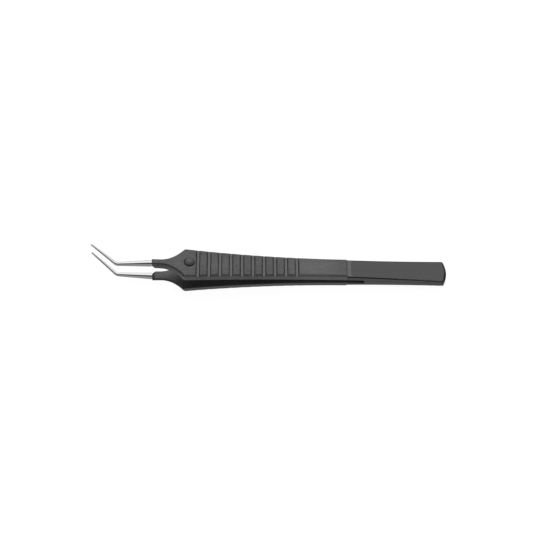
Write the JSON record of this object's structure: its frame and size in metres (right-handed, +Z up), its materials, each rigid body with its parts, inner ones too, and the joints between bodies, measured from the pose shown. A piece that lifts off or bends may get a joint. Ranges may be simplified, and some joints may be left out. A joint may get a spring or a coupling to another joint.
{
  "type": "fine-point angled tweezers",
  "caption": "Fine-point tweezers with angled polished steel tips in a slim moulded handle with ribbed grip pads and a guide pin; the arms flex and spring open.",
  "frame": {"origin": "centre of the bounding box, on the plane that the tweezers lie on", "axes": "+X along the handle towards its rear end, with the tips towards -X; +Y the side that the tips bend to; +Z up, away from the table, close to the squeezing direction (the handle's centre plane leans 1.77 degrees, because the nose and the pads of the lower arm both touch the table)"},
  "size_m": [0.1052, 0.0128, 0.0087],
  "materials": {
    "handle_plastic": "matte, finely textured, smooth on the rear faces",
    "pin_plastic": "satin",
    "polished_steel": "polished"
  },
  "bodies": {
    "rear_block": {"rear_upper_half": "handle_plastic", "rear_lower_half": "handle_plastic"},
    "upper_jaw": {"upper_arm": "handle_plastic", "upper_tip": "polished_steel", "guide_pin": "pin_plastic"},
    "lower_jaw": {"lower_arm": "handle_plastic", "lower_tip": "polished_steel"}
  },
  "joints": [
    {"name": "upper_arm_flex", "type": "hinge", "parent": "rear_block", "child": "upper_jaw", "pos_m": [0.0278, -0.00122, 0.00365], "axis": [0, -1, 0], "range_deg": [0, 1.23], "stiffness_Nm_per_rad": 0.3},
    {"name": "lower_arm_flex", "type": "hinge", "parent": "rear_block", "child": "lower_jaw", "pos_m": [0.02773, -0.00122, 0.00124], "axis": [0, 1, 0], "range_deg": [0, 1.23], "stiffness_Nm_per_rad": 0.3}
  ],
  "couplings": [
    {"joint": "lower_arm_flex", "follows": "upper_arm_flex", "ratio": 1}
  ]
}
